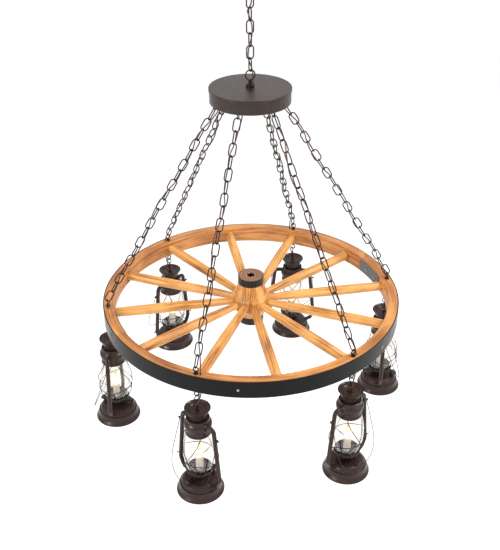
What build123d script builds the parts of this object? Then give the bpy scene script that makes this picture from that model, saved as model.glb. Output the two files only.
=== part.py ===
"""Wagon-wheel chandelier: an oak wheel on six chains under a wiring pan, carrying six electric storm lanterns.

Units are millimetres and +Z is up. The origin is the centre of the ceiling canopy's mounting face.
Azimuth 0 is the direction of the first hook, and the six hooks are 60 degrees apart.
"""
import os
from math import cos, radians, sin, tan

from build123d import *

# ---------------------------------------------------------------- driving dimensions
WHEEL_RADIUS = 457.2          # outside of the tyre
RIM_TOP = -985.0              # top of the rim below the ceiling
RIM_HEIGHT = 52.0
TYRE_THICKNESS = 3.0
FELLOE_DEPTH = 31.0           # radial thickness of the wooden rim
STATIONS = 6
SPOKES = 12
HANG_RADIUS = 442.0           # circle of the eyebolts through the rim
PAN_RADIUS = 115.4
PAN_TOP = RIM_TOP + 664.0
PAN_HEIGHT = 41.0
PAN_EYE_RADIUS = 97.0
LINK_WIRE = 3.5
LINK_WIDTH = 23.2             # outside width of one chain link
SIDE_LINKS = 20
MAIN_LINKS = 6                # the top one is the separate main_link
MAIN_TURN = 10.0              # azimuth of the plane of the pan's loop
LOOP_RADIUS = 13.75           # centreline radius of the two big loops
SLACK = 0.1                   # gap between two linked wires
PIVOT_SLACK = 0.2             # the same where the two wires swing on each other
CABLE = 3.6                   # lamp wire
LANTERN_TURNS = (166.0, 15.0, 190.0, 162.0, -23.0, 2.0)  # how each lantern has turned on its hook
BAIL_LEANS = (21.0, -18.0, 21.0, 21.0, -18.0, -18.0)     # each bail's lean to the back, or to the front

FELLOE_OUTER = WHEEL_RADIUS - TYRE_THICKNESS
FELLOE_INNER = FELLOE_OUTER - FELLOE_DEPTH
RIM_BOTTOM = RIM_TOP - RIM_HEIGHT
SPOKE_Z = RIM_TOP - RIM_HEIGHT / 2
STATION_ANGLE = 360.0 / STATIONS
os.makedirs("parts", exist_ok=True)


def save(part, name):
    """Label a finished piece and write it as its own node."""
    part.label = name
    export_step(part, f"parts/{name}.step")


def around(part, station):
    """A copy of a piece made at azimuth 0, moved round the wheel to another station."""
    return Rot(0, 0, station * STATION_ANGLE) * part


def polar(radius, degrees, z=0.0):
    """A point from its radius, azimuth and height."""
    return (radius * cos(radians(degrees)), radius * sin(radians(degrees)), z)


def radial_plane(radius, azimuth, z):
    """A plane that faces outwards along a radius of the wheel."""
    return Plane(origin=polar(radius, azimuth, z), x_dir=(0, 0, 1), z_dir=polar(1, azimuth))


def wire_ring(centre, azimuth, radius, wire):
    """A closed wire ring that stands upright in the vertical plane of the given azimuth."""
    return Pos(*centre) * Rot(0, 0, azimuth) * Rot(90, 0, 0) * Torus(radius, wire / 2)


def corner_radii(points):
    """The largest arc that each corner of a route allows: 0.45 of its shorter run."""
    radii = []
    for before, here, after in zip(points, points[1:], points[2:]):
        run_in, run_out = Vector(here) - Vector(before), Vector(after) - Vector(here)
        half_turn = radians(run_in.get_angle(run_out) / 2)
        radii.append(0.45 * min(run_in.length, run_out.length) / tan(half_turn))
    return radii


def tube_along(points, radius, radii=None, bore=0.0):
    """A round wire or pipe along straight runs joined by tangent arcs."""
    with BuildPart() as tube:
        with BuildLine() as route:
            FilletPolyline(*points, radius=radii or corner_radii(points))
        with BuildSketch(Plane(origin=route.line @ 0, z_dir=route.line % 0)):
            Circle(radius)
            if bore:
                Circle(bore, mode=Mode.SUBTRACT)
        sweep()
    return tube.part


def turned(*outline):
    """A solid of revolution about Z from a closed outline of (radius, height) points."""
    with BuildPart() as body:
        with BuildSketch(Plane.XZ):
            with BuildLine():
                Polyline(*outline, close=True)
            make_face()
        revolve(axis=Axis.Z)
    return body.part


# ---------------------------------------------------------------- ceiling fitting
CANOPY_RADIUS = 65.0
CANOPY_DROP = 30.0
SHEET = 1.5                   # sheet metal of the canopy and the pan
STEM_RADIUS = 4.75            # threaded stems of the two loops
SCREW_SPACING = 88.9          # ceiling box screws, 3.5 in apart
STRAP_THICKNESS = 2.5
CANOPY_CABLE_RADIUS = 21.0
CABLE_HOLE = 2.75

with BuildPart() as ceiling_canopy:
    with BuildSketch(Plane.XZ):
        with BuildLine():
            Line((CANOPY_RADIUS, 0), (CANOPY_RADIUS, -6))
            ThreePointArc((CANOPY_RADIUS, -6), (47, -24), (16, -CANOPY_DROP))
            Polyline((16, -CANOPY_DROP), (STEM_RADIUS + 0.25, -CANOPY_DROP),
                     (STEM_RADIUS + 0.25, SHEET - CANOPY_DROP), (16, SHEET - CANOPY_DROP))
            ThreePointArc((16, SHEET - CANOPY_DROP), (46, SHEET - 24.2), (CANOPY_RADIUS - SHEET, -6))
            Polyline((CANOPY_RADIUS - SHEET, -6), (CANOPY_RADIUS - SHEET, 0), (CANOPY_RADIUS, 0))
        make_face()
    revolve(axis=Axis.Z)
    with BuildSketch(Plane.XY.offset(-CANOPY_DROP - 1)):
        with Locations(polar(CANOPY_CABLE_RADIUS, MAIN_TURN + 45)):
            Circle(CABLE_HOLE)
    extrude(amount=CANOPY_DROP, mode=Mode.SUBTRACT)
save(ceiling_canopy.part, "ceiling_canopy")

with BuildPart() as ceiling_strap:
    with BuildSketch(Plane.XY.offset(-STRAP_THICKNESS)):
        RectangleRounded(112, 19, 4)
        with Locations((SCREW_SPACING / 2, 0), (-SCREW_SPACING / 2, 0)):
            Circle(2.6, mode=Mode.SUBTRACT)
        Circle(STEM_RADIUS + 0.15, mode=Mode.SUBTRACT)
    extrude(amount=STRAP_THICKNESS)
save(ceiling_strap.part, "ceiling_strap")

# ---------------------------------------------------------------- chains
WIRE_STEP = LINK_WIRE + SLACK                      # between the centres of two linked wires
RIM_EYE_R = 7.25
RIM_EYE_Z = RIM_TOP + 15.0
PAN_FLOOR = PAN_TOP - PAN_HEIGHT
PAN_EYE_R = 6.5
PAN_EYE_WIRE = 3.0
PAN_EYE_Z = PAN_FLOOR - 11.0
PAN_EYE = Vector(PAN_EYE_RADIUS, 0, PAN_EYE_Z)
RIM_HOLD = Vector(HANG_RADIUS, 0, RIM_EYE_Z + RIM_EYE_R)   # the wire that the last link pulls on
CHAIN_LENGTH = (RIM_HOLD - PAN_EYE).length
CHAIN_PLANE = Plane(origin=PAN_EYE, x_dir=(0, 1, 0), z_dir=(RIM_HOLD - PAN_EYE).normalized())
FIRST_WIRE = PAN_EYE_R - (LINK_WIRE + PAN_EYE_WIRE) / 2 - SLACK
LAST_WIRE = CHAIN_LENGTH + WIRE_STEP
LINK_LENGTH = (LAST_WIRE - FIRST_WIRE + (SIDE_LINKS - 1) * WIRE_STEP) / SIDE_LINKS   # between end wires
PITCH = LINK_LENGTH - WIRE_STEP
LINK_HALF_WIDTH = (LINK_WIDTH - LINK_WIRE) / 2
LINK_STRAIGHT = LINK_LENGTH - 2 * LINK_HALF_WIDTH

with BuildPart() as link:
    with BuildSketch(Plane.XY.offset(-LINK_STRAIGHT / 2)):
        with Locations((LINK_HALF_WIDTH, 0), (-LINK_HALF_WIDTH, 0)):
            Circle(LINK_WIRE / 2)
    extrude(amount=LINK_STRAIGHT)
    for end in (1, -1):
        with BuildSketch(Plane.XY.offset(end * LINK_STRAIGHT / 2)):
            with Locations((LINK_HALF_WIDTH, 0)):
                Circle(LINK_WIRE / 2)
        revolve(axis=Axis((0, 0, end * LINK_STRAIGHT / 2), (0, -end, 0)), revolution_arc=180)


def chain(plane, first_centre, count, first_turn):
    """Links along the plane's normal, each a quarter turn from the one before."""
    places = [Location((0, 0, first_centre + n * PITCH), (0, 0, first_turn + 90 * (n % 2))) for n in range(count)]
    return Compound(children=[plane.location * place * link.part for place in places])


side_chain = chain(CHAIN_PLANE, FIRST_WIRE + LINK_LENGTH / 2, SIDE_LINKS, 0)
for station in range(STATIONS):
    save(around(side_chain, station), f"chain_{station + 1}")

PAN_LOOP_Z = PAN_TOP + 34.0
MAIN_FIRST = PAN_LOOP_Z + LOOP_RADIUS - WIRE_STEP + LINK_LENGTH / 2
TOP_LINK_Z = MAIN_FIRST + (MAIN_LINKS - 1) * PITCH + PIVOT_SLACK - SLACK
CEILING_LOOP_Z = TOP_LINK_Z + LINK_LENGTH / 2 - LINK_WIRE - PIVOT_SLACK + LOOP_RADIUS
save(chain(Plane.XY, MAIN_FIRST, MAIN_LINKS - 1, MAIN_TURN + 90), "main_chain")
save(Pos(0, 0, TOP_LINK_Z) * Rot(0, 0, MAIN_TURN + 90 * MAIN_LINKS) * link.part, "main_link")

COLLAR_RADIUS = 12.0
COLLAR_HEIGHT = 10.0
NUT_HEIGHT = 5.0
with BuildPart() as nut:
    with BuildSketch():
        RegularPolygon(9, 6)
        Circle(STEM_RADIUS + 0.05, mode=Mode.SUBTRACT)
    extrude(amount=NUT_HEIGHT)


def big_loop(neck_length, stem_length):
    """A wire loop on a neck and a collar that seats at z = 0, with its threaded stem below."""
    with BuildPart() as fitting:
        with BuildSketch():
            Circle(COLLAR_RADIUS)
        extrude(amount=COLLAR_HEIGHT)
        chamfer(fitting.edges().group_by(Axis.Z)[-1], 2)
        with BuildSketch():
            Circle(5)
        extrude(amount=COLLAR_HEIGHT + neck_length)
        with BuildSketch():
            Circle(STEM_RADIUS)
        extrude(amount=-stem_length)
    ring_z = COLLAR_HEIGHT + neck_length + LOOP_RADIUS
    return fitting.part + wire_ring((0, 0, ring_z), 0, LOOP_RADIUS, LINK_WIRE)


SEAT = 0.05
ceiling_neck = -CANOPY_DROP - SEAT - CEILING_LOOP_Z - LOOP_RADIUS - COLLAR_HEIGHT
ceiling_fitting = Pos(0, 0, -CANOPY_DROP - SEAT) * Rot(0, 0, MAIN_TURN + 90) * Rot(180, 0, 0) * big_loop(
    ceiling_neck, CANOPY_DROP - 0.5)
save(Compound(children=[ceiling_fitting, Pos(0, 0, -STRAP_THICKNESS - SEAT - NUT_HEIGHT) * nut.part]),
     "ceiling_loop")
pan_neck = PAN_LOOP_Z - PAN_TOP - SEAT - LOOP_RADIUS - COLLAR_HEIGHT
pan_fitting = Pos(0, 0, PAN_TOP + SEAT) * Rot(0, 0, MAIN_TURN) * big_loop(pan_neck, 12)
save(Compound(children=[pan_fitting, Pos(0, 0, PAN_TOP - SHEET - SEAT - NUT_HEIGHT) * nut.part]), "pan_loop")

# ---------------------------------------------------------------- wiring pan
SKIRT = 9.0
MAIN_CABLE = polar(19, MAIN_TURN + 45)
PAN_CABLE = (PAN_EYE_RADIUS - 10.0, 9.0)
DRUM_RADIUS = PAN_RADIUS - SHEET - 0.3

with BuildPart() as pan_lid:
    with BuildSketch(Plane.XY.offset(PAN_TOP - SKIRT)):
        Circle(PAN_RADIUS)
    extrude(amount=SKIRT)
    fillet(pan_lid.edges().group_by(Axis.Z)[-1], 1.2)
    with BuildSketch(Plane.XY.offset(PAN_TOP - SKIRT)):
        Circle(PAN_RADIUS - SHEET)
    extrude(amount=SKIRT - SHEET, mode=Mode.SUBTRACT)
    with BuildSketch(Plane.XY.offset(PAN_TOP)):
        Circle(STEM_RADIUS + 0.25)
        with Locations(MAIN_CABLE):
            Circle(CABLE_HOLE)
    extrude(amount=-SHEET, mode=Mode.SUBTRACT)
save(pan_lid.part, "pan_lid")

with BuildPart() as pan_drum:
    with BuildSketch(Plane.XY.offset(PAN_FLOOR)):
        Circle(DRUM_RADIUS)
    extrude(amount=PAN_HEIGHT - SHEET - 0.2)
    fillet(pan_drum.edges().group_by(Axis.Z)[0], 1.2)
    with BuildSketch(Plane.XY.offset(PAN_FLOOR + SHEET)):
        Circle(DRUM_RADIUS - SHEET)
    extrude(amount=PAN_HEIGHT, mode=Mode.SUBTRACT)
    for station in range(STATIONS):
        with BuildSketch(Plane.XY.rotated((0, 0, station * STATION_ANGLE)).offset(PAN_FLOOR)):
            with Locations((PAN_EYE_RADIUS, 0), PAN_CABLE):
                Circle(CABLE_HOLE)
        extrude(amount=SHEET, mode=Mode.SUBTRACT)
save(pan_drum.part, "pan_drum")

# ---------------------------------------------------------------- eyebolts
SHANK = 3.0
LOW_EYE_Z = RIM_TOP - 70.0
LOW_EYE_R = 7.25
PIVOT_Z = LOW_EYE_Z - LOW_EYE_R              # the wire that a lantern hangs and swings on

with BuildPart() as rim_bolt:
    with BuildSketch(Plane(origin=(HANG_RADIUS, 0, RIM_TOP + SEAT))):
        Circle(7)
    extrude(amount=2)
    with BuildSketch(Plane(origin=(HANG_RADIUS, 0, RIM_BOTTOM - SEAT))):
        RegularPolygon(6, 6)
    extrude(amount=-5)
    with BuildSketch(Plane(origin=(HANG_RADIUS, 0, LOW_EYE_Z + LOW_EYE_R - 0.5))):
        Circle(SHANK)
    extrude(amount=RIM_EYE_Z - RIM_EYE_R - LOW_EYE_Z - LOW_EYE_R + 1)
rim_bolt_eyes = (rim_bolt.part + wire_ring((HANG_RADIUS, 0, RIM_EYE_Z), 90, RIM_EYE_R, LINK_WIRE)
                 + wire_ring((HANG_RADIUS, 0, LOW_EYE_Z), 90, LOW_EYE_R, LINK_WIRE))

with BuildPart() as pan_bolt:
    with BuildSketch(Plane(origin=(PAN_EYE_RADIUS, 0, PAN_EYE_Z + PAN_EYE_R - 0.5))):
        Circle(2.5)
    extrude(amount=PAN_FLOOR + 10 - PAN_EYE_Z - PAN_EYE_R)
    with BuildSketch(Plane(origin=(PAN_EYE_RADIUS, 0, PAN_FLOOR + SHEET + SEAT))):
        RegularPolygon(5, 6)
    extrude(amount=4)
pan_bolt_eye = pan_bolt.part + wire_ring((PAN_EYE_RADIUS, 0, PAN_EYE_Z), 0, PAN_EYE_R, PAN_EYE_WIRE)
save(Compound(children=[around(bolt, n) for n in range(STATIONS) for bolt in (rim_bolt_eyes, pan_bolt_eye)]),
     "eyebolts")

# ---------------------------------------------------------------- wheel
TENON = 11.0
SPOKE_ROOT = 46.0             # radius where a spoke ends inside the hub
SPOKE_ROOT_R, SPOKE_MID_R, SPOKE_END_R = 11.0, 15.0, 14.0
FIT = 0.05
SEAM_IN, SEAM_OUT = 18.5, 22.0   # azimuths of a felloe joint at the inner and the outer face
SEAM_GAP = 0.04               # degrees
SCREW_AZIMUTH = 15.4
CABLE_SIDE = 13.0             # the lamp wire's hole beside each eyebolt
PLATE_FROM, PLATE_TO = 2.7, 20.0
PLATE_THICKNESS = 3.0
PLATE_BOLTS = (6.5, 14.0)
SCREW_R = 2.2

with BuildPart() as spoke:
    with BuildSketch(Plane.XZ):
        with BuildLine():
            Polyline((SPOKE_ROOT, SPOKE_Z), (SPOKE_ROOT, SPOKE_Z + SPOKE_ROOT_R), (66, SPOKE_Z + SPOKE_ROOT_R))
            Spline((66, SPOKE_Z + SPOKE_ROOT_R), (230, SPOKE_Z + SPOKE_MID_R),
                   (FELLOE_INNER - 2, SPOKE_Z + SPOKE_END_R))
            Polyline((FELLOE_INNER - 2, SPOKE_Z + SPOKE_END_R), (FELLOE_INNER + TENON, SPOKE_Z + SPOKE_END_R),
                     (FELLOE_INNER + TENON, SPOKE_Z), (SPOKE_ROOT, SPOKE_Z))
        make_face()
    revolve(axis=Axis((0, 0, SPOKE_Z), (1, 0, 0)))
save(Compound(children=[Rot(0, 0, n * 360 / SPOKES) * spoke.part for n in range(SPOKES)]), "spokes")

with BuildPart() as spoke_sockets:
    for n in range(SPOKES):
        with BuildSketch(radial_plane(SPOKE_ROOT - FIT, n * 360 / SPOKES, SPOKE_Z)):
            Circle(SPOKE_ROOT_R + FIT)
        extrude(amount=24)
        with BuildSketch(radial_plane(FELLOE_INNER - 6, n * 360 / SPOKES, SPOKE_Z)):
            Circle(SPOKE_END_R + FIT)
        extrude(amount=TENON + 6 + FIT)

HUB_TOP = RIM_TOP + 62.0
HUB_BOTTOM = RIM_TOP - 99.0
BAND_RADIUS = 39.6
BAND_HEIGHT = 24.0
BAND_THICKNESS = 2.0
HUB_R = 58.0
HUB_BORE = 19.0
HUB_NECK = BAND_RADIUS - BAND_THICKNESS - FIT
with BuildPart() as hub:
    with BuildSketch(Plane.XZ):
        with BuildLine():
            upper, lower = HUB_TOP - BAND_HEIGHT - FIT, HUB_BOTTOM + BAND_HEIGHT + FIT
            Polyline((0, HUB_TOP), (HUB_NECK, HUB_TOP), (HUB_NECK, upper), (BAND_RADIUS, upper))
            ThreePointArc((BAND_RADIUS, upper), (47, HUB_TOP - 50), (HUB_R, SPOKE_Z + 16))
            Line((HUB_R, SPOKE_Z + 16), (HUB_R, SPOKE_Z - 16))
            ThreePointArc((HUB_R, SPOKE_Z - 16), (48, SPOKE_Z - 34), (BAND_RADIUS, lower))
            Polyline((BAND_RADIUS, lower), (HUB_NECK, lower), (HUB_NECK, HUB_BOTTOM), (0, HUB_BOTTOM), (0, HUB_TOP))
        make_face()
    revolve(axis=Axis.Z)
    with BuildSketch(Plane.XY.offset(HUB_BOTTOM)):
        Rectangle(HUB_BORE, HUB_BORE, rotation=15)
    extrude(amount=HUB_TOP - HUB_BOTTOM, mode=Mode.SUBTRACT)
    add(spoke_sockets.part, mode=Mode.SUBTRACT)
save(hub.part, "hub")

with BuildPart() as hub_bands:
    for low in (HUB_TOP - BAND_HEIGHT, HUB_BOTTOM):
        with BuildSketch(Plane.XY.offset(low)):
            Circle(BAND_RADIUS)
            Circle(BAND_RADIUS - BAND_THICKNESS, mode=Mode.SUBTRACT)
        extrude(amount=BAND_HEIGHT)
save(hub_bands.part, "hub_bands")

with BuildPart() as rim_holes:
    for station in range(STATIONS):
        with BuildSketch(Plane.XY.rotated((0, 0, station * STATION_ANGLE)).offset(RIM_BOTTOM - 1)):
            with Locations((HANG_RADIUS, 0)):
                Circle(SHANK + 0.1)
            with Locations((HANG_RADIUS, CABLE_SIDE)):
                Circle(CABLE / 2 + 1.5)
        extrude(amount=RIM_HEIGHT + 2)
        with BuildSketch(radial_plane(FELLOE_OUTER - 14, SCREW_AZIMUTH + station * STATION_ANGLE, SPOKE_Z)):
            Circle(SCREW_R + FIT)
        extrude(amount=30)
    for azimuth in PLATE_BOLTS:
        for side in (0, 180):
            with BuildSketch(radial_plane(FELLOE_INNER - 8, azimuth + side, SPOKE_Z)):
                Circle(SCREW_R + FIT)
            extrude(amount=24)

for side, name in ((0, "felloe_a"), (180, "felloe_b")):
    with BuildPart() as felloe:
        with BuildSketch(Plane.XY.offset(RIM_BOTTOM)):
            with BuildLine():
                outer = CenterArc((0, 0), FELLOE_OUTER - FIT, side + SEAM_OUT + SEAM_GAP, 180 - 2 * SEAM_GAP)
                inner = CenterArc((0, 0), FELLOE_INNER, side + SEAM_IN + SEAM_GAP, 180 - 2 * SEAM_GAP)
                Line(outer @ 1, inner @ 1)
                Line(inner @ 0, outer @ 0)
            make_face()
        extrude(amount=RIM_HEIGHT)
        arcs = felloe.edges().filter_by(GeomType.CIRCLE)
        fillet(arcs.filter_by(lambda edge: edge.radius < FELLOE_INNER + 1), 5)
        add(spoke_sockets.part, mode=Mode.SUBTRACT)
        add(rim_holes.part, mode=Mode.SUBTRACT)
    save(felloe.part, name)

with BuildPart() as tyre:
    with BuildSketch(Plane.XY.offset(RIM_BOTTOM)):
        Circle(WHEEL_RADIUS)
        Circle(FELLOE_OUTER, mode=Mode.SUBTRACT)
    extrude(amount=RIM_HEIGHT)
    add(rim_holes.part, mode=Mode.SUBTRACT)
save(tyre.part, "tyre")

PLATE_FACE = FELLOE_INNER - 0.1
with BuildPart() as felloe_plates:
    for side in (0, 180):
        with BuildSketch(Plane.XY.offset(SPOKE_Z - 20)):
            with BuildLine():
                back = CenterArc((0, 0), PLATE_FACE, side + PLATE_FROM, PLATE_TO - PLATE_FROM)
                face = CenterArc((0, 0), PLATE_FACE - PLATE_THICKNESS, side + PLATE_FROM, PLATE_TO - PLATE_FROM)
                Line(back @ 0, face @ 0)
                Line(back @ 1, face @ 1)
            make_face()
        extrude(amount=40)
    corners = felloe_plates.edges().filter_by(GeomType.LINE)
    fillet(corners.filter_by(lambda edge: abs((edge % 0).Z) < 0.1), 8)
    add(rim_holes.part, mode=Mode.SUBTRACT)
save(felloe_plates.part, "felloe_plates")


def pan_head_screw(plane, length):
    """A screw whose head stands on a plane, its shank running back from it."""
    with BuildPart() as piece:
        with BuildSketch(plane):
            Circle(4.2)
        extrude(amount=2.2)
        fillet(piece.faces().sort_by(Axis(plane.origin, plane.z_dir))[-1].edges(), 1.2)
        with BuildSketch(plane):
            Circle(SCREW_R)
        extrude(amount=-length)
    return piece.part


screws = [pan_head_screw(radial_plane(WHEEL_RADIUS + 0.1, SCREW_AZIMUTH + n * STATION_ANGLE, SPOKE_Z), 14)
          for n in range(STATIONS)]
for azimuth in PLATE_BOLTS:
    for side in (0, 180):
        seat = polar(PLATE_FACE - PLATE_THICKNESS - 0.15, azimuth + side, SPOKE_Z)
        inwards = Plane(origin=seat, x_dir=(0, 0, 1), z_dir=polar(-1, azimuth + side))
        screws.append(pan_head_screw(inwards, 16))
save(Compound(children=screws), "fasteners")

# ---------------------------------------------------------------- lamp wires
# Where a wire stands beside each joint of its chain, as it is woven through the links: along the first
# link's plane, and across it
WEAVE = ((5.4, -5.5), (5.8, 5.2), (-5.2, 5.7), (-5.6, -5.3), (-8.5, -8.0), (-5.3, -5.8), (5.5, -5.2),
         (5.2, 5.8), (-5.7, 5.3), (-9.0, 7.2), (-5.2, 5.6), (-5.8, -5.3), (5.4, -5.7), (8.4, -7.5),
         (5.6, -5.2), (5.2, 5.5), (-5.5, 5.3), (-5.3, -5.6), (5.6, -5.3))
JOINT_1 = FIRST_WIRE + LINK_LENGTH - WIRE_STEP / 2
side_route = [(*PAN_CABLE, PAN_FLOOR + 8), (PAN_CABLE[0] - 0.6, PAN_CABLE[1] + 0.4, PAN_FLOOR - 13)]
side_route += [tuple(CHAIN_PLANE.from_local_coords(Vector(along, across, JOINT_1 + n * PITCH)))
               for n, (along, across) in enumerate(WEAVE)]
side_route += [(HANG_RADIUS - 3.0, CABLE_SIDE - 0.4, RIM_TOP + 17), (HANG_RADIUS - 0.4, CABLE_SIDE, RIM_TOP - 10),
               (HANG_RADIUS + 0.4, CABLE_SIDE + 0.5, RIM_TOP - 36), (HANG_RADIUS, CABLE_SIDE, RIM_TOP - 60)]
MAIN_WEAVE = ((9.5, 7.1), (-5.2, 5.6), (-5.5, -5.2), (5.6, -5.5), (5.3, 5.7))
MAIN_TOP = (-5.5, 5.4)
main_plane = Plane(origin=(0, 0, 0), x_dir=polar(1, MAIN_TURN), z_dir=(0, 0, 1))
JOINT_0 = PAN_LOOP_Z + LOOP_RADIUS - WIRE_STEP / 2
main_route = [(MAIN_CABLE[0], MAIN_CABLE[1], PAN_TOP - 9), (MAIN_CABLE[0] + 0.5, MAIN_CABLE[1] - 0.5, PAN_TOP + 16)]
main_route += [tuple(main_plane.from_local_coords(Vector(along, across, JOINT_0 + n * PITCH)))
               for n, (along, across) in enumerate(MAIN_WEAVE)]
main_route.append(tuple(main_plane.from_local_coords(Vector(*MAIN_TOP, JOINT_0 + 5 * PITCH - 12))))
side_wire = tube_along(side_route, CABLE / 2)
main_wire = tube_along(main_route, CABLE / 2)
save(Compound(children=[around(side_wire, n) for n in range(STATIONS)] + [main_wire]), "lamp_wires")

# ---------------------------------------------------------------- storm lantern
# Made on the Z axis with its burner knob towards +X and its air tubes at +Y and -Y
LOOP_WIRE = 3.0
LOOP_R = 8.5
LOOP_Z = PIVOT_Z + (LINK_WIRE + LOOP_WIRE) / 2 + PIVOT_SLACK - LOOP_R
CAP_Z = RIM_TOP - 117.0
CAP_FLOOR = CAP_Z - 8.0
NECK_R = 26.0
CROWN_TOP = RIM_TOP - 150.0
CROWN_BOTTOM = RIM_TOP - 203.5
TUBE_R = 6.5
EAR_Z = RIM_TOP - 196.0
EAR_SIDE = 70.5
TANK_TOP = RIM_TOP - 371.0
TANK_BOTTOM = RIM_TOP - 419.6
GLASS_TOP = RIM_TOP - 202.0
GLASS_BOTTOM = RIM_TOP - 341.0
METAL = 1.0

with BuildPart() as hanging_loop:
    with BuildSketch(Plane.XY.offset(CAP_FLOOR + SEAT)):
        Circle(2.4)
    extrude(amount=LOOP_Z - LOOP_R - CAP_FLOOR + 0.6)
    with BuildSketch(Plane.XY.offset(CAP_FLOOR + SEAT)):
        RegularPolygon(6.5, 6)
    extrude(amount=4.5)
hanging_loop_ring = hanging_loop.part + wire_ring((0, 0, LOOP_Z), 0, LOOP_R, LOOP_WIRE)

CAP_TOP_FACE = ((0, 0), (11, 0), (12.5, 1.5), (22, 2.5), (25, 4.8), (27.5, 3.8), (33, 4.6), (36.3, 7.8),
                (37.3, 7.8))
CAP_UNDERSIDE = ((37.6, 6.6), (37, 5.6), (34, 1.5), (28, -12), (NECK_R, -21), (NECK_R, -38), (NECK_R - METAL, -38),
                 (NECK_R - METAL, -21), (27, -12), (32.6, 0.6), (27, 2), (25, 2.8), (22, 1), (12.5, 0), (11, -1.6),
                 (0, -1.6))
chimney = turned(*[(r, CAP_FLOOR + height) for r, height in CAP_TOP_FACE + CAP_UNDERSIDE])
CROWN = ((32, CROWN_TOP), (33.5, CROWN_TOP - 1), (34, CROWN_TOP - 10), (38, CROWN_TOP - 14.5),
         (40, CROWN_TOP - 19), (40, CROWN_TOP - 28), (38, CROWN_TOP - 32), (35.5, CROWN_TOP - 36),
         (35.5, CROWN_TOP - 45), (37.5, CROWN_TOP - 49), (37.5, CROWN_BOTTOM))
shelf = CROWN_TOP - 6         # a dark groove round the chimney, with its floor this low
crown = turned(*CROWN, *[(r - METAL, z) for r, z in reversed(CROWN[2:])], (33, shelf - METAL - 1),
               (NECK_R + 0.1, shelf - METAL - 1), (NECK_R + 0.1, shelf), (31.5, shelf), (31.5, CROWN_TOP - 0.5))
crown_core = turned((0, CROWN_TOP), *[(r + FIT, z) for r, z in CROWN], (0, CROWN_BOTTOM))
TANK = ((20, TANK_TOP), (33, TANK_TOP - 0.5), (44, TANK_TOP - 2.5), (51, TANK_TOP - 6), (54, TANK_TOP - 10),
        (56, TANK_TOP - 14), (57, TANK_TOP - 19.5), (61.2, TANK_TOP - 20.7), (61.8, TANK_TOP - 25),
        (64, TANK_TOP - 36), (69, TANK_TOP - 43), (70.7, TANK_TOP - 46), (70.7, TANK_BOTTOM + 0.8))
tank_floor = TANK_BOTTOM + 3
tank = turned(*TANK, (69.7, TANK_BOTTOM), (66, TANK_BOTTOM), (65, tank_floor), (0, tank_floor),
              (0, tank_floor + METAL), (64, tank_floor + METAL), *[(r - METAL, z - METAL) for r, z in TANK[9:0:-1]],
              (20, TANK_TOP - METAL))
tank_core = turned((0, TANK_TOP + FIT), *[(r + FIT, z + FIT) for r, z in TANK], (0, TANK_BOTTOM))

tube_route = [(0, 30, RIM_TOP - 167), (0, 62, RIM_TOP - 167), (0, 80.5, RIM_TOP - 345), (0, 70, RIM_TOP - 369),
              (0, 44, RIM_TOP - 382)]
TUBE_JOINTS = (RIM_TOP - 210, RIM_TOP - 335)   # each air tube is three lengths end to end
with BuildPart() as air_tubes:
    add(tube_along(tube_route, TUBE_R, [13, 20, 16], TUBE_R - METAL))
    add(crown_core, mode=Mode.SUBTRACT)
    add(tank_core, mode=Mode.SUBTRACT)
    with BuildSketch(Plane(origin=(0, EAR_SIDE - 6, EAR_Z), z_dir=(0, 1, 0))):
        Circle(1.5)
    extrude(amount=14)
    with BuildSketch(Plane(origin=(0, EAR_SIDE + 8, EAR_Z), z_dir=(0, 1, 0))):
        Circle(3)
    extrude(amount=1.5)
    mirror(about=Plane.XZ)
    for joint in TUBE_JOINTS:
        split(bisect_by=Plane.XY.offset(joint), keep=Keep.BOTH)

CAP_TILT = 30
filler_plane = Plane(origin=polar(45, 167, TANK_TOP + 0.5), x_dir=polar(1, 77),
                     z_dir=(-sin(radians(CAP_TILT)), 0.1, 1))
with BuildPart() as filler_cap:
    with BuildSketch(filler_plane.offset(-12)):
        Circle(7)
    extrude(amount=18)
    with BuildSketch(filler_plane.offset(6)):
        Circle(11)
    extrude(amount=6)
    chamfer(filler_cap.faces().sort_by(Axis(filler_plane.origin, filler_plane.z_dir))[-1].edges(), 1.5)
    add(tank_core, mode=Mode.SUBTRACT)

with BuildPart() as globe:
    with BuildSketch(Plane.XZ):
        with BuildLine():
            outside = ThreePointArc((35.3, GLASS_TOP), (46, RIM_TOP - 286), (34.5, GLASS_BOTTOM))
            inside = ThreePointArc((33.8, GLASS_TOP), (44.5, RIM_TOP - 286), (33, GLASS_BOTTOM))
            Line(outside @ 0, inside @ 0)
            Line(outside @ 1, inside @ 1)
        make_face()
    revolve(axis=Axis.Z)

KNOB_Z = RIM_TOP - 362.0
SHAFT_R = 1.5
GALLERY_TOP = GLASS_BOTTOM - 0.3
with BuildPart() as burner:
    add(turned((14, GALLERY_TOP - 2), (14, GALLERY_TOP), (37, GALLERY_TOP), (38.5, GALLERY_TOP + 3),
               (39.5, GALLERY_TOP + 3), (39.5, GALLERY_TOP - 1.5), (36.5, GALLERY_TOP - 3.5), (37, GALLERY_TOP - 5.5),
               (32.5, GALLERY_TOP - 7.5), (33, GALLERY_TOP - 9.5), (28.5, GALLERY_TOP - 11.5),
               (28, GALLERY_TOP - 15), (20, GALLERY_TOP - 20), (20, TANK_TOP + 0.1), (18, TANK_TOP + 0.1),
               (18, GALLERY_TOP - 18), (26, GALLERY_TOP - 13), (27, GALLERY_TOP - 9.5),
               (31, GALLERY_TOP - 5.5), (35, GALLERY_TOP - 2)))
    with BuildSketch(Plane(origin=(17, 0, KNOB_Z), z_dir=(1, 0, 0))):
        Circle(3)
    extrude(amount=9)
    with BuildSketch(Plane(origin=(16, 0, KNOB_Z), z_dir=(1, 0, 0))):
        Circle(SHAFT_R + 0.08)
    extrude(amount=12, mode=Mode.SUBTRACT)

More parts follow.
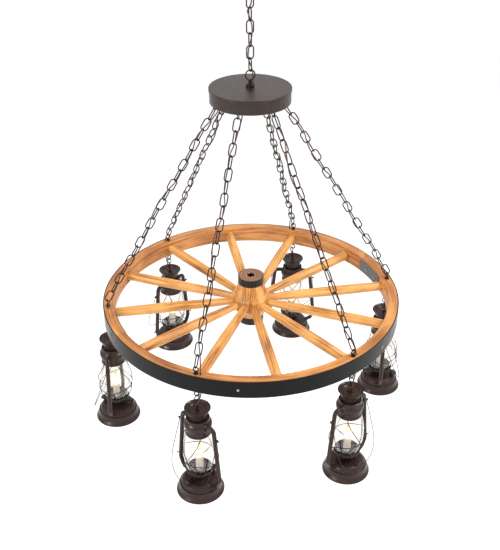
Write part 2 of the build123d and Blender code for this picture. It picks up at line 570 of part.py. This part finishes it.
GUARD_WIRE = 1.1
GUARD_Z = RIM_TOP - 291.0
HALF_RING = ((4.7, 70.2), (13.5, 61.4), (35, 46), (51, 20))
CROSS_STEP = 2.4              # the two crossed wires pass this far inside and outside the ring
guards = []
for side in (0, 180):
    ring = [*HALF_RING, *[(x, -y) for x, y in reversed(HALF_RING)]]
    guards.append(Rot(0, 0, side) * tube_along([(x, y, GUARD_Z) for x, y in ring], GUARD_WIRE))
    for turn in (-1, 1):
        waist = (51.1 + turn * CROSS_STEP) / cos(radians(16))
        cross = [polar(38.9, side + turn * 55, CROWN_BOTTOM + 1.5), polar(45, side + turn * 43, RIM_TOP - 226),
                 polar(waist, side + turn * 16, RIM_TOP - 264), polar(waist, side - turn * 16, RIM_TOP - 312),
                 polar(45, side - turn * 43, RIM_TOP - 333), polar(41, side - turn * 56, GALLERY_TOP - 1.5)]
        guards.append(tube_along(cross, GUARD_WIRE))

with BuildPart() as lever:
    with BuildSketch(Plane(origin=(0, 87.5, RIM_TOP - 336), z_dir=(0, 1, -0.35))):
        Circle(1.6)
    extrude(amount=10)

SLEEVE_R = 11.2
with BuildPart() as candle:
    with BuildSketch(Plane.XY.offset(RIM_TOP - 337)):
        Circle(SLEEVE_R)
        Circle(SLEEVE_R - METAL, mode=Mode.SUBTRACT)
    extrude(amount=41)
with BuildPart() as socket:
    with BuildSketch(Plane.XY.offset(RIM_TOP - 345)):
        Circle(9.5)
    extrude(amount=44)
    with BuildSketch(Plane.XY.offset(RIM_TOP - 360)):
        Circle(5)
    extrude(amount=15)
with BuildPart() as bulb:
    with BuildSketch(Plane.XZ):
        with BuildLine():
            Line((0, RIM_TOP - 300.8), (8, RIM_TOP - 300.8))
            Spline((8, RIM_TOP - 300.8), (11, RIM_TOP - 283), (7, RIM_TOP - 262), (0.8, RIM_TOP - 240))
            Polyline((0.8, RIM_TOP - 240), (0, RIM_TOP - 240), (0, RIM_TOP - 300.8))
        make_face()
    revolve(axis=Axis.Z)

BAIL_WIRE = 2.0
BAIL_HALF = ((75.5, 3.6), (76.3, 30), (77.5, 72), (78, 110), (71, 148), (47, 175), (16, 186))   # side, drop


def hanging_bail(lean):
    """The wire handle with an eye round each ear stud, hanging behind the lantern or, below 0, in front."""
    slope = radians(lean)
    plane = Plane(origin=(0, 0, EAR_Z), x_dir=(0, 1, 0), z_dir=(cos(slope), 0, -sin(slope)))
    outline = [*BAIL_HALF, *[(-side, drop) for side, drop in reversed(BAIL_HALF)]]
    route = [tuple(plane.from_local_coords(Vector(side, -drop, 0))) for side, drop in outline]
    eye = Pos(0, BAIL_HALF[0][0], EAR_Z) * Rot(90, 0, 0) * Torus(3.0, BAIL_WIRE / 2)
    return tube_along(route, BAIL_WIRE / 2) + eye + mirror(eye, about=Plane.XZ)


with BuildPart() as knob:
    with BuildSketch(Plane(origin=(19, 0, KNOB_Z), z_dir=(1, 0, 0))):
        Circle(SHAFT_R)
    extrude(amount=33)
    with BuildSketch(Plane(origin=(50, 0, KNOB_Z), z_dir=(1, 0, 0))):
        Circle(7)
    extrude(amount=4)
    chamfer(knob.faces().sort_by(Axis.X)[-1].edges(), 0.8)

lantern_nodes = {
    "frame": [hanging_loop_ring, chimney, crown, tank, *air_tubes.part.solids(), filler_cap.part],
    "globe": [globe.part],
    "gallery": [burner.part, *guards, lever.part, mirror(lever.part, about=Plane.XZ)],
    "lamp": [candle.part, socket.part, bulb.part],
    "knob": [knob.part],
}
for station, turn in enumerate(LANTERN_TURNS):
    hook = around(Pos(HANG_RADIUS, 0, 0) * Rot(0, 0, turn), station)
    nodes = {**lantern_nodes, "bail": [hanging_bail(BAIL_LEANS[station])]}
    for node, pieces in nodes.items():
        save(Compound(children=[hook * piece for piece in pieces]), f"lantern_{station + 1}_{node}")
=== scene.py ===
"""Wagon-wheel chandelier: the looks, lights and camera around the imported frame, in metres."""

from math import cos, pi, radians, sin

import bmesh
import bpy
from mathutils import Euler, Matrix, Vector


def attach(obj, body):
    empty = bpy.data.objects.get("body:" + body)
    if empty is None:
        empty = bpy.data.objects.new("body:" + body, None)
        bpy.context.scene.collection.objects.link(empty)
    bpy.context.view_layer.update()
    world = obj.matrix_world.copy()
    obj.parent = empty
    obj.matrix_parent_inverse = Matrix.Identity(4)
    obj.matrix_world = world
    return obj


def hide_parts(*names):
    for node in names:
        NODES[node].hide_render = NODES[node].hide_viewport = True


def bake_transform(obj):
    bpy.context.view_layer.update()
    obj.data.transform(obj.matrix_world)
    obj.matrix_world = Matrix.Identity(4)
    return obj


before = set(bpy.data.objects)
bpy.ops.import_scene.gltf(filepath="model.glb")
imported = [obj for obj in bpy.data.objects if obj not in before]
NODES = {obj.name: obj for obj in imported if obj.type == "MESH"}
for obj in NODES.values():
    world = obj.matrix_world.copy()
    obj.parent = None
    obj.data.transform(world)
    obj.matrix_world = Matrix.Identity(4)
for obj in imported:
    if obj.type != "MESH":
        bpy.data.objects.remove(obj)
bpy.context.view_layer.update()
SCENE = bpy.context.scene

# ---------------------------------------------------------------- sizes repeated from the model
STATIONS = 6
STATION_ANGLE = 60.0
SPOKES = 12
HANG_RADIUS = 0.442
RIM_TOP = -0.985
RIM_HEIGHT = 0.052
SPOKE_Z = RIM_TOP - RIM_HEIGHT / 2
HUB_BORE_REACH = 0.0145       # from the axis to past the corners of the hub's square bore, whose walls get painted shade
PAN_TOP = RIM_TOP + 0.664
PAN_FLOOR = PAN_TOP - 0.041
MAIN_TURN = 10.0
CABLE = 0.0036                # thickness of a lamp wire
CABLE_SIDE = 0.013            # from an eyebolt to its lamp wire's hole
PITCH = 0.034005              # of the chain links
LANTERN_TURNS = (166.0, 15.0, 190.0, 162.0, -23.0, 2.0)
RIM_MIDDLE = 0.44             # radius of the middle of the wooden rim
FELLOE_SEAM = 20.0            # azimuth of one joint between the two felloes
SLEEVE_TOP = RIM_TOP - 0.2958   # the bulb starts here
FILAMENT_Z = RIM_TOP - 0.279
KNOB_Z = RIM_TOP - 0.362


def polar(radius, degrees, z=0.0):
    """A point from its radius, azimuth and height."""
    return Vector((radius * cos(radians(degrees)), radius * sin(radians(degrees)), z))


def station_turn(station):
    """The rotation that carries a piece from azimuth 0 to a station."""
    return Matrix.Rotation(radians(station * STATION_ANGLE), 4, "Z")


def lantern_place(station):
    """The matrix from a lantern's own axes to the chandelier's."""
    own_turn = Matrix.Rotation(radians(LANTERN_TURNS[station]), 4, "Z")
    return station_turn(station) @ Matrix.Translation((HANG_RADIUS, 0, 0)) @ own_turn


def link_object(name, data):
    """Put mesh or curve data in the scene as an object."""
    obj = bpy.data.objects.new(name, data)
    SCENE.collection.objects.link(obj)
    return obj


# ---------------------------------------------------------------- camera
CAMERA_AZIMUTH = 79.86        # the way it looks
CAMERA_PITCH = 30.385         # downwards
CAMERA_ROLL = -0.18
camera_data = bpy.data.cameras.new("camera")
camera_data.lens = 57.97
camera_data.shift_x = -0.0014
camera_data.shift_y = -0.0193
camera_data.clip_end = 200
camera = link_object("camera", camera_data)
camera.location = (-0.4124, -2.3054, 0.4878)
look = Euler((radians(90 - CAMERA_PITCH), 0, radians(CAMERA_AZIMUTH - 90))).to_matrix()
camera.rotation_euler = (look @ Matrix.Rotation(radians(CAMERA_ROLL), 3, "Z")).to_euler()
SCENE.camera = camera

# ---------------------------------------------------------------- lamp wires, the cords
WEAVE = ((5.4, -5.5), (5.8, 5.2), (-5.2, 5.7), (-5.6, -5.3), (-8.5, -8.0), (-5.3, -5.8), (5.5, -5.2),
         (5.2, 5.8), (-5.7, 5.3), (-9.0, 7.2), (-5.2, 5.6), (-5.8, -5.3), (5.4, -5.7), (8.4, -7.5),
         (5.6, -5.2), (5.2, 5.5), (-5.5, 5.3), (-5.3, -5.6), (5.6, -5.3))
MAIN_WEAVE = ((9.5, 7.1), (-5.2, 5.6), (-5.5, -5.2), (5.6, -5.5), (5.3, 5.7))
JOINT_1 = 0.03895             # from a pan eye to the middle of its chain's first joint
JOINT_0 = PAN_TOP + 0.04595   # height of the main chain's lowest joint
PAN_EYE = Vector((0.097, 0, PAN_FLOOR - 0.011))
PAN_CABLE = Vector((0.087, 0.009, PAN_FLOOR))   # the lamp wire's hole in the floor of the pan
RIM_HOLD = Vector((HANG_RADIUS, 0, RIM_TOP + 0.02225))


def cord_curve(name, points, diameter):
    """One open smooth spline through the route, with round thickness."""
    curve = bpy.data.curves.new(name, "CURVE")
    curve.dimensions = "3D"
    curve.bevel_depth = diameter / 2
    curve.bevel_resolution = 3
    curve.resolution_u = 8
    spline = curve.splines.new("NURBS")
    spline.points.add(len(points) - 1)
    for slot, point in zip(spline.points, points):
        slot.co = (*point, 1)
    spline.order_u = 3
    spline.use_endpoint_u = True
    return link_object(name, curve)


def side_route():
    """The wire that follows the chain at azimuth 0, from inside the pan to below the rim."""
    down = (RIM_HOLD - PAN_EYE).normalized()
    along = Vector((0, 1, 0))
    across = down.cross(along)
    points = [PAN_CABLE + Vector((0, 0, 0.008)), PAN_CABLE + Vector((-0.0006, 0.0004, -0.013))]
    for n, (a, b) in enumerate(WEAVE):
        points.append(PAN_EYE + down * (JOINT_1 + n * PITCH) + along * (a / 1000) + across * (b / 1000))
    hole = Vector((HANG_RADIUS, CABLE_SIDE, RIM_TOP))
    points += [hole + Vector((-0.0030, -0.0004, 0.017)), hole + Vector((-0.0004, 0, -0.010)),
               hole + Vector((0.0004, 0.0005, -0.036)), hole + Vector((0, 0, -0.060))]
    return points


def main_route():
    """The supply wire in the main chain, from inside the pan to the top link."""
    start = polar(0.019, MAIN_TURN + 45)
    along, across = polar(1, MAIN_TURN), polar(1, MAIN_TURN + 90)
    points = [start + Vector((0, 0, PAN_TOP - 0.009)), start + Vector((0.0005, -0.0005, PAN_TOP + 0.016))]
    for n, (a, b) in enumerate(MAIN_WEAVE):
        points.append(along * (a / 1000) + across * (b / 1000) + Vector((0, 0, JOINT_0 + n * PITCH)))
    points.append(along * -0.0055 + across * 0.0054 + Vector((0, 0, JOINT_0 + 5 * PITCH - 0.012)))
    return points


wires = []
for station in range(STATIONS):
    wire = cord_curve(f"lamp_wire_{station + 1}", [station_turn(station) @ p for p in side_route()], CABLE)
    tuple(station_turn(station) @ side_route()[0])
    wires.append(wire)
supply = cord_curve("lamp_wire_supply", main_route(), CABLE)
wires.append(supply)
for wire in wires:
    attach(wire, "chandelier")
    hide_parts("lamp_wires")


# ---------------------------------------------------------------- material graphs
class Graph:
    """A material's node graph, with short calls for the nodes used here."""

    def __init__(self, name):
        self.material = bpy.data.materials.new(name)
        self.material.use_nodes = True
        self.tree = self.material.node_tree
        self.shader = self.tree.nodes["Principled BSDF"]
        self.place = self.add("ShaderNodeTexCoord").outputs["Object"]

    def add(self, kind, inputs=(), **settings):
        node = self.tree.nodes.new(kind)
        for key, value in settings.items():
            setattr(node, key, value)
        for key, value in dict(inputs).items():
            self.feed(node.inputs[key], value)
        return node

    def feed(self, socket, value):
        if isinstance(value, bpy.types.NodeSocket):
            self.tree.links.new(value, socket)
        else:
            socket.default_value = value

    def math(self, operation, *values):
        return self.add("ShaderNodeMath", enumerate(values), operation=operation).outputs[0]

    def split(self, vector):
        return self.add("ShaderNodeSeparateXYZ", {0: vector}).outputs

    def join(self, x, y, z):
        return self.add("ShaderNodeCombineXYZ", {0: x, 1: y, 2: z}).outputs[0]

    def scaled(self, vector, factors):
        return self.add("ShaderNodeVectorMath", {0: vector, 1: factors}, operation="MULTIPLY").outputs[0]

    def noise(self, vector, scale, detail=3.0, roughness=0.5):
        values = {"Vector": vector, "Scale": scale, "Detail": detail, "Roughness": roughness}
        return self.add("ShaderNodeTexNoise", values).outputs["Fac"]

    def ramp(self, factor, *stops):
        node = self.add("ShaderNodeValToRGB", {"Fac": factor})
        elements = node.color_ramp.elements
        while len(elements) < len(stops):
            elements.new(0.5)
        for element, (position, colour) in zip(elements, stops):
            element.position = position
            element.color = (*colour, 1)
        return node.outputs["Color"]

    def between(self, factor, low, high, to_low=0.0, to_high=1.0):
        values = {"Value": factor, "From Min": low, "From Max": high, "To Min": to_low, "To Max": to_high}
        return self.add("ShaderNodeMapRange", values).outputs[0]

    def mix(self, factor, first, second, blend="MIX"):
        node = self.add("ShaderNodeMix", {"Factor": factor}, data_type="RGBA", blend_type=blend)
        self.feed(node.inputs[6], first)
        self.feed(node.inputs[7], second)
        return node.outputs[2]

    def bump(self, height, strength, distance):
        values = {"Height": height, "Strength": strength, "Distance": distance}
        self.feed(self.shader.inputs["Normal"], self.add("ShaderNodeBump", values).outputs[0])

    def set(self, **sockets):
        for key, value in sockets.items():
            self.feed(self.shader.inputs[key.replace("_", " ")], value)
        return self.material


def oak(name, layout, piece=0.0, light=(0.72, 0.36, 0.105), mid=(0.52, 0.220, 0.050)):
    """Oiled oak with growth rings, fibres and short dark pores, its grain laid out as the piece was cut."""
    dark = (0.20, 0.062, 0.014)
    g = Graph(name)
    x, y, z = g.split(g.place)
    height = g.math("SUBTRACT", z, SPOKE_Z)
    radius = g.math("SQRT", g.math("ADD", g.math("MULTIPLY", x, x), g.math("MULTIPLY", y, y)))
    if layout == "spokes":
        step = 2 * pi / SPOKES
        angle = g.math("ARCTAN2", y, x)
        index = g.math("ROUND", g.math("DIVIDE", angle, step))
        off = g.math("SUBTRACT", angle, g.math("MULTIPLY", index, step))
        along = g.math("MULTIPLY", radius, g.math("COSINE", off))
        across = g.math("MULTIPLY", radius, g.math("SINE", off))
        piece = g.math("FLOORED_MODULO", index, SPOKES)
    elif layout == "hub":
        along, across, height = height, x, y
    else:
        turned = g.add("ShaderNodeVectorRotate", {"Vector": g.place, "Angle": -radians(FELLOE_SEAM)},
                       rotation_type="Z_AXIS").outputs[0]
        turned_x, turned_y, _ = g.split(turned)
        along = g.math("MULTIPLY", g.math("ARCTAN2", turned_y, turned_x), RIM_MIDDLE)
        across = radius
    shift = g.math("MULTIPLY", piece, 0.37)
    grain = g.join(g.math("ADD", along, shift), g.math("ADD", across, shift), g.math("ADD", height, shift))
    sway = g.noise(g.scaled(grain, (2.5, 14, 14)), 1.0, 2.0)
    pith = g.math("ADD", g.math("MULTIPLY", g.math("SINE", g.math("MULTIPLY", piece, 2.4)), 0.05), 0.085)
    side = g.math("ADD", across, g.math("ADD", pith, g.math("MULTIPLY", sway, 0.03)))
    if layout in ("spokes", "hub"):
        ring_place = g.math("SQRT", g.math("ADD", g.math("MULTIPLY", side, side),
                                           g.math("MULTIPLY", height, height)))
    else:
        ring_place = g.math("ADD", side, g.math("MULTIPLY", height, 0.35))
    ring = g.math("PINGPONG", g.math("MULTIPLY", ring_place, 260), 1.0)
    fibre = g.noise(g.scaled(grain, (9, 420, 420)), 1.0, 4.0, 0.65)
    streak = g.noise(g.scaled(grain, (6, 60, 60)), 1.0, 3.0)
    patch = g.noise(g.scaled(grain, (9, 16, 16)), 1.0, 3.0)
    pores = g.between(g.noise(g.scaled(grain, (60, 1500, 1500)), 1.0, 2.0), 0.60, 0.70)
    tone = g.math("ADD", g.math("MULTIPLY", ring, 0.09), g.math("MULTIPLY", fibre, 0.30))
    tone = g.math("ADD", tone, g.math("MULTIPLY", streak, 0.46))
    tone = g.math("ADD", tone, g.math("MULTIPLY", patch, 0.34))
    base = g.ramp(tone, (0.45, dark), (0.57, mid), (0.68, light))
    base = g.mix(g.math("MULTIPLY", pores, 0.55), base, (*[c * 0.4 for c in dark], 1))
    if layout == "hub":
        normal_z = g.split(g.add("ShaderNodeNewGeometry").outputs["Normal"])[2]
        flat = g.between(g.math("ABSOLUTE", normal_z), 0.85, 0.97)
        end = g.ramp(g.math("ADD", g.math("MULTIPLY", ring, 0.5), g.math("MULTIPLY", patch, 0.5)),
                     (0.20, (0.075, 0.030, 0.014)), (0.80, (0.34, 0.150, 0.070)))
        base = g.mix(flat, base, end)
        # Painted shade: the walls inside the bore, off the flat end faces, are painted near-black where shade
        # falls in the hole.
        bore_shade = g.math("LESS_THAN", radius, HUB_BORE_REACH)
        base = g.mix(g.math("MULTIPLY", bore_shade, g.math("SUBTRACT", 1.0, flat)), base, (0.012, 0.006, 0.004, 1))
    g.bump(g.math("SUBTRACT", fibre, g.math("MULTIPLY", pores, 0.9)), 0.25, 0.0006)
    rough = g.between(g.math("ADD", streak, pores), 0.3, 1.4, 0.36, 0.62)
    return g.set(Base_Color=base, Roughness=rough, Specular_IOR_Level=0.4)


def painted(name, base, worn, rough, grit=900, wear=0.62, metallic=0.0, spec=0.5, coat=0.0):
    """Lacquered or plated metal with a faint mottle, small pits and rubbed high spots."""
    g = Graph(name)
    mottle = g.noise(g.place, 38, 4.0, 0.6)
    pits = g.noise(g.place, grit, 3.0, 0.6)
    rub = g.math("ADD", g.math("MULTIPLY", mottle, 0.6), g.math("MULTIPLY", pits, 0.4))
    rub = g.between(rub, wear, wear + 0.12)
    darker = tuple(c * 0.72 for c in base)
    colour = g.mix(g.between(mottle, 0.3, 0.7), (*darker, 1), (*base, 1))
    colour = g.mix(g.math("MULTIPLY", rub, 0.7), colour, (*worn, 1))
    g.bump(pits, 0.12, 0.0003)
    low, high = rough
    return g.set(Base_Color=colour, Roughness=g.between(mottle, 0.3, 0.7, low, high), Metallic=metallic,
                 Specular_IOR_Level=spec, Coat_Weight=coat)


def wire_look():
    """Maroon insulation with a fine mottle."""
    g = Graph("wire_insulation")
    twist = g.noise(g.place, 900, 3.0)
    colour = g.mix(g.between(twist, 0.35, 0.65), (0.050, 0.014, 0.012, 1), (0.150, 0.045, 0.034, 1))
    g.bump(twist, 0.4, 0.0005)
    return g.set(Base_Color=colour, Roughness=0.5)


def glass_look():
    """Clear glass with a warm tint and a faint unevenness in its polish."""
    g = Graph("clear_glass")
    haze = g.noise(g.place, 30, 1.0)
    return g.set(Base_Color=(0.950, 0.912, 0.875, 1), Roughness=g.between(haze, 0.3, 0.7, 0.0, 0.02),
                 IOR=1.45, Transmission_Weight=1.0)


def lamp_look():
    """A white card sleeve, and above its rim a lit bulb that is brightest round the filament."""
    g = Graph("sleeve_and_bulb")
    _, _, z = g.split(g.place)
    fleck = g.noise(g.place, 400, 3.0)
    card = g.mix(g.between(fleck, 0.3, 0.7), (0.86, 0.80, 0.69, 1), (0.92, 0.88, 0.80, 1))
    lit = g.math("GREATER_THAN", z, SLEEVE_TOP)
    height = g.math("SUBTRACT", z, FILAMENT_Z)
    glow = g.between(g.math("ABSOLUTE", height), 0.0, 0.030, 1.0, 0.06)
    shimmer = g.math("MULTIPLY", glow, g.between(g.noise(g.place, 160, 2.0), 0.3, 0.7, 0.8, 1.0))
    g.bump(fleck, 0.1, 0.0002)
    return g.set(Base_Color=g.mix(lit, card, (0.95, 0.80, 0.55, 1)), Roughness=g.between(lit, 0, 1, 0.6, 0.0),
                 Emission_Color=(1.0, 0.78, 0.47, 1),
                 Emission_Strength=g.math("MULTIPLY", lit, g.math("MULTIPLY", shimmer, 2.3)))


RIM_TONES = {"light": (0.58, 0.255, 0.070), "mid": (0.38, 0.140, 0.032)}
LOOKS = {
    "oak_spokes": oak("oak_spokes", "spokes"),
    "oak_hub": oak("oak_hub", "hub"),
    "oak_felloe_a": oak("oak_felloe_a", "felloe", 1.0, **RIM_TONES),
    "oak_felloe_b": oak("oak_felloe_b", "felloe", 3.0, **RIM_TONES),
    "tyre": painted("tyre_steel", (0.005, 0.0045, 0.0045), (0.018, 0.018, 0.018), (0.20, 0.32), spec=0.14),
    "band": painted("band_steel", (0.022, 0.018, 0.016), (0.20, 0.16, 0.14), (0.26, 0.46), metallic=0.5,
                    wear=0.55),
    "pan": painted("pan_bronze", (0.038, 0.024, 0.019), (0.14, 0.08, 0.05), (0.32, 0.42), metallic=0.35),
    "chain": painted("chain_bronze", (0.016, 0.011, 0.010), (0.09, 0.065, 0.05), (0.30, 0.46), metallic=0.35,
                     spec=0.35),
    "lantern": painted("lantern_bronze", (0.034, 0.018, 0.014), (0.13, 0.080, 0.064), (0.24, 0.40),
                       metallic=0.25, spec=0.32),
    "burner": painted("burner_bronze", (0.016, 0.009, 0.008), (0.08, 0.05, 0.04), (0.3, 0.46), metallic=0.3,
                      spec=0.3),
    "plate": painted("rolled_plate", (0.20, 0.20, 0.195), (0.42, 0.42, 0.41), (0.35, 0.6), metallic=0.9),
    "screw": painted("screw_steel", (0.34, 0.33, 0.31), (0.55, 0.54, 0.5), (0.3, 0.5), metallic=0.9),
    "wire": wire_look(),
    "glass": glass_look(),
    "lamp": lamp_look(),
}
NODE_LOOKS = {
    "spokes": "oak_spokes", "hub": "oak_hub", "felloe_a": "oak_felloe_a", "felloe_b": "oak_felloe_b",
    "tyre": "tyre", "hub_bands": "band", "felloe_plates": "plate", "fasteners": "screw",
    "pan_lid": "pan", "pan_drum": "pan", "pan_loop": "chain", "eyebolts": "chain", "main_chain": "chain",
    "main_link": "chain", "ceiling_loop": "chain", "ceiling_canopy": "pan", "ceiling_strap": "plate",
}
for n in range(1, STATIONS + 1):
    NODE_LOOKS[f"chain_{n}"] = "chain"
    NODE_LOOKS[f"lantern_{n}_globe"] = "glass"
    NODE_LOOKS[f"lantern_{n}_lamp"] = "lamp"
    NODE_LOOKS[f"lantern_{n}_frame"] = "lantern"
    for part in ("gallery", "bail", "knob"):
        NODE_LOOKS[f"lantern_{n}_{part}"] = "burner"
for node, look_name in NODE_LOOKS.items():
    NODES[node].data.materials.clear()
    NODES[node].data.materials.append(LOOKS[look_name])
for wire in wires:
    wire.data.materials.append(LOOKS["wire"])


def meshed(obj):
    """The same piece as a plain mesh."""
    graph = bpy.context.evaluated_depsgraph_get()
    mesh = bpy.data.meshes.new_from_object(obj.evaluated_get(graph))
    name, materials = obj.name, list(obj.data.materials)
    bpy.data.objects.remove(obj)
    result = link_object(name, mesh)
    mesh.materials.clear()
    for material in materials:
        mesh.materials.append(material)
    return result


def joint_wire(name, points):
    """A short wire through the given points across a swing's pivot, as a plain mesh with its placement baked
    in.
    """
    curve = cord_curve(name, points, CABLE)
    curve.data.materials.append(LOOKS["wire"])
    piece = meshed(curve)
    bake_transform(piece)


def weave_point(a, b, z):
    """A point beside the main chain: along the pan loop's plane and across it, in millimetres."""
    return polar(1, MAIN_TURN) * (a / 1000) + polar(1, MAIN_TURN + 90) * (b / 1000) + Vector((0, 0, z))


link_middle = weave_point(5.6, 5.4, -0.0895)
joint_wire("supply_to_link", [weave_point(14.8, 14.8, -0.020), weave_point(14.4, 14.4, -0.040),
                              weave_point(9.5, 9.5, -0.062), weave_point(6.0, 5.6, -0.078), link_middle])
joint_wire("link_to_chain", [link_middle, weave_point(5.2, 5.2, -0.1000), weave_point(-4.6, 5.4, -0.1100),
                             main_route()[-1]])
LEAD = ((0, 0.0130, -0.0595), (0.0015, 0.0125, -0.072), (0.0020, 0.0085, -0.084), (0.0010, 0.0060, -0.094),
        (0.0060, 0.0020, -0.102), (0.0020, -0.0060, -0.109), (-0.0055, -0.0050, -0.116),
        (-0.0085, -0.0035, -0.126))
hook = Vector((HANG_RADIUS, 0, RIM_TOP))
for station in range(STATIONS):
    joint_wire(f"lantern_lead_{station + 1}", [station_turn(station) @ (hook + Vector(p)) for p in LEAD])

# ---------------------------------------------------------------- fluted burner knobs
FLUTES = 20


def fluted_knob(station):
    """The wick knob as a fluted wheel on its shaft."""
    mesh = bmesh.new()
    rings = []
    outline = ((0.0500, 0.0056, 0), (0.0505, 0.0066, 0.0006), (0.0535, 0.0066, 0.0006), (0.0540, 0.0056, 0))
    for x, radius, depth in outline:
        ring = []
        for step in range(FLUTES * 2):
            swell = radius + (depth if step % 2 else -depth * 0.6)
            angle = pi * step / FLUTES
            ring.append(mesh.verts.new((x, swell * cos(angle), swell * sin(angle) + KNOB_Z)))
        rings.append(ring)
    for shaft_x, shaft_radius in ((0.0500, 0.0015), (0.0190, 0.0015)):
        ring = []
        for step in range(FLUTES * 2):
            angle = pi * step / FLUTES
            side, height = shaft_radius * cos(angle), shaft_radius * sin(angle)
            ring.append(mesh.verts.new((shaft_x, side, height + KNOB_Z)))
        rings.insert(0, ring)
    for first, second in zip(rings, rings[1:]):
        for n in range(FLUTES * 2):
            mesh.faces.new((first[n], first[n - 1], second[n - 1], second[n]))
    mesh.faces.new(rings[0])
    mesh.faces.new(rings[-1][::-1])
    bmesh.ops.recalc_face_normals(mesh, faces=mesh.faces)
    mesh.transform(lantern_place(station))
    data = bpy.data.meshes.new(f"fluted_knob_{station + 1}")
    mesh.to_mesh(data)
    mesh.free()
    data.materials.append(LOOKS["burner"])
    piece = link_object(data.name, data)
    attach(piece, f"knob_{station + 1}")
    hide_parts(f"lantern_{station + 1}_knob")


for station in range(STATIONS):
    fluted_knob(station)

# ---------------------------------------------------------------- studio
FLOOR_Z = -2.44
FLOOR_SIDE = 12.0


def area_light(name, place, target, size, power, colour=(1, 1, 1)):
    """A soft square light that faces a point."""
    data = bpy.data.lights.new(name, "AREA")
    data.shape = "SQUARE"
    data.size = size
    data.energy = power
    data.color = colour
    light = link_object(name, data)
    light.location = place
    light.rotation_euler = (Vector(target) - Vector(place)).to_track_quat("-Z", "Y").to_euler()


def studio_floor():
    """A pale floor, far enough below to catch only the softest shadow."""
    data = bpy.data.meshes.new("floor")
    half = FLOOR_SIDE / 2
    data.from_pydata([(-half, -half, FLOOR_Z), (half, -half, FLOOR_Z), (half, half, FLOOR_Z),
                      (-half, half, FLOOR_Z)], [], [(0, 1, 2, 3)])
    floor = link_object("floor", data)
    g = Graph("pale_floor")
    speck = g.noise(g.place, 3.0)
    pale = g.mix(speck, (0.93, 0.93, 0.93, 1), (0.96, 0.96, 0.96, 1))
    data.materials.append(g.set(Base_Color=pale, Roughness=0.9, Specular_IOR_Level=0.0))


studio_floor()
world = bpy.data.worlds.new("studio")
world.use_nodes = True
world.node_tree.nodes["Background"].inputs["Color"].default_value = (1, 1, 1, 1)
world.node_tree.nodes["Background"].inputs["Strength"].default_value = 1.0
SCENE.world = world
SCENE.view_settings.view_transform = "Standard"
CENTRE = (0, 0, RIM_TOP)
area_light("key", (2.6, -1.2, 1.6), CENTRE, 1.2, 120)
area_light("fill", (-2.8, -1.4, 0.4), CENTRE, 1.0, 60)
